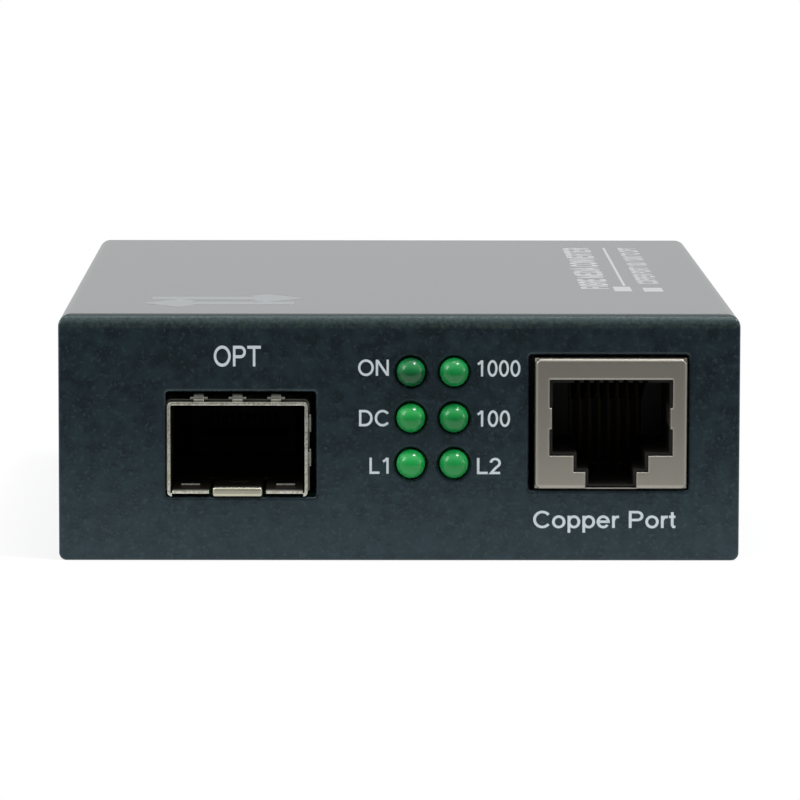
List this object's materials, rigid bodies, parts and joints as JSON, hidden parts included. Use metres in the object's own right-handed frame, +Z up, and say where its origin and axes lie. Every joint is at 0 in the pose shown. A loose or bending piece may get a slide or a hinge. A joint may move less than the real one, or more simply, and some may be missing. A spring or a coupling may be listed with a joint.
{
  "type": "fibre media converter",
  "caption": "Flat folded-steel box with an optical module cage, green indicator lamps and a shielded network jack in its front and a power inlet behind.",
  "frame": {"origin": "middle of the footprint, on the surface that the case stands on", "axes": "+X to the right across the front, +Y from the front face to the rear panel, +Z up"},
  "size_m": [0.071, 0.0954, 0.0258],
  "materials": {
    "case_paint": "fine textured powder coat, satin",
    "plated_steel": "zinc plated, bright",
    "screw_black": "black oxide, satin",
    "cage_nickel": "nickel plated sheet, satin",
    "shield_nickel": "nickel plated sheet, satin",
    "black_moulding": "glass filled moulding, matte",
    "gold_contact": "gold flashed, bright",
    "tinned_metal": "tinned, satin",
    "lamp_green": "tinted clear moulding, glossy",
    "board_green": "solder mask over glass laminate, satin",
    "package_black": "moulded package, matte",
    "ferrite": "ground ferrite, matte",
    "winding_tape": "yellow tape over copper wire",
    "can_sleeve": "dark sleeve on an aluminium can, glossy",
    "crystal_can": "drawn can, bright",
    "legend_ink": "screen printed legends, satin"
  },
  "bodies": {
    "root": {"base": "case_paint", "board": "board_green", "board_screw_1": "plated_steel", "board_screw_2": "plated_steel", "board_screw_3": "plated_steel", "board_screw_4": "plated_steel", "cage_collar": "cage_nickel", "cage_floor": "cage_nickel", "cage_shell": "cage_nickel", "converter_chip": "package_black", "converter_chip_pins": "tinned_metal", "cover": "case_paint", "cover_screw_1": "screw_black", "cover_screw_2": "screw_black", "cover_screw_3": "screw_black", "cover_screw_4": "screw_black", "crystal": "crystal_can", "filter_capacitor": "can_sleeve", "host_connector": "black_moulding", "host_contacts": "gold_contact", "inductor": "package_black", "inlet_housing": "black_moulding", "inlet_pin": "tinned_metal", "inlet_spring": "tinned_metal", "jack_housing": "black_moulding", "jack_shield": "shield_nickel", "jack_wires": "gold_contact", "lamp_copper_link": "lamp_green", "lamp_fibre_link": "lamp_green", "lamp_holder": "black_moulding", "lamp_input": "lamp_green", "lamp_leads": "tinned_metal", "lamp_power": "lamp_green", "lamp_speed_100": "lamp_green", "lamp_speed_1000": "lamp_green", "line_transformer": "package_black", "line_transformer_pins": "tinned_metal", "memory_chip": "package_black", "memory_chip_pins": "tinned_metal", "optocoupler": "package_black", "optocoupler_pins": "tinned_metal", "output_capacitor": "can_sleeve", "regulator": "package_black", "regulator_frame": "tinned_metal", "reservoir_capacitor": "can_sleeve", "small_parts": "tinned_metal", "standoff_1": "plated_steel", "standoff_2": "plated_steel", "standoff_3": "plated_steel", "standoff_4": "plated_steel", "transformer_bobbin": "package_black", "transformer_core": "ferrite", "transformer_winding": "winding_tape"}
  },
  "joints": []
}
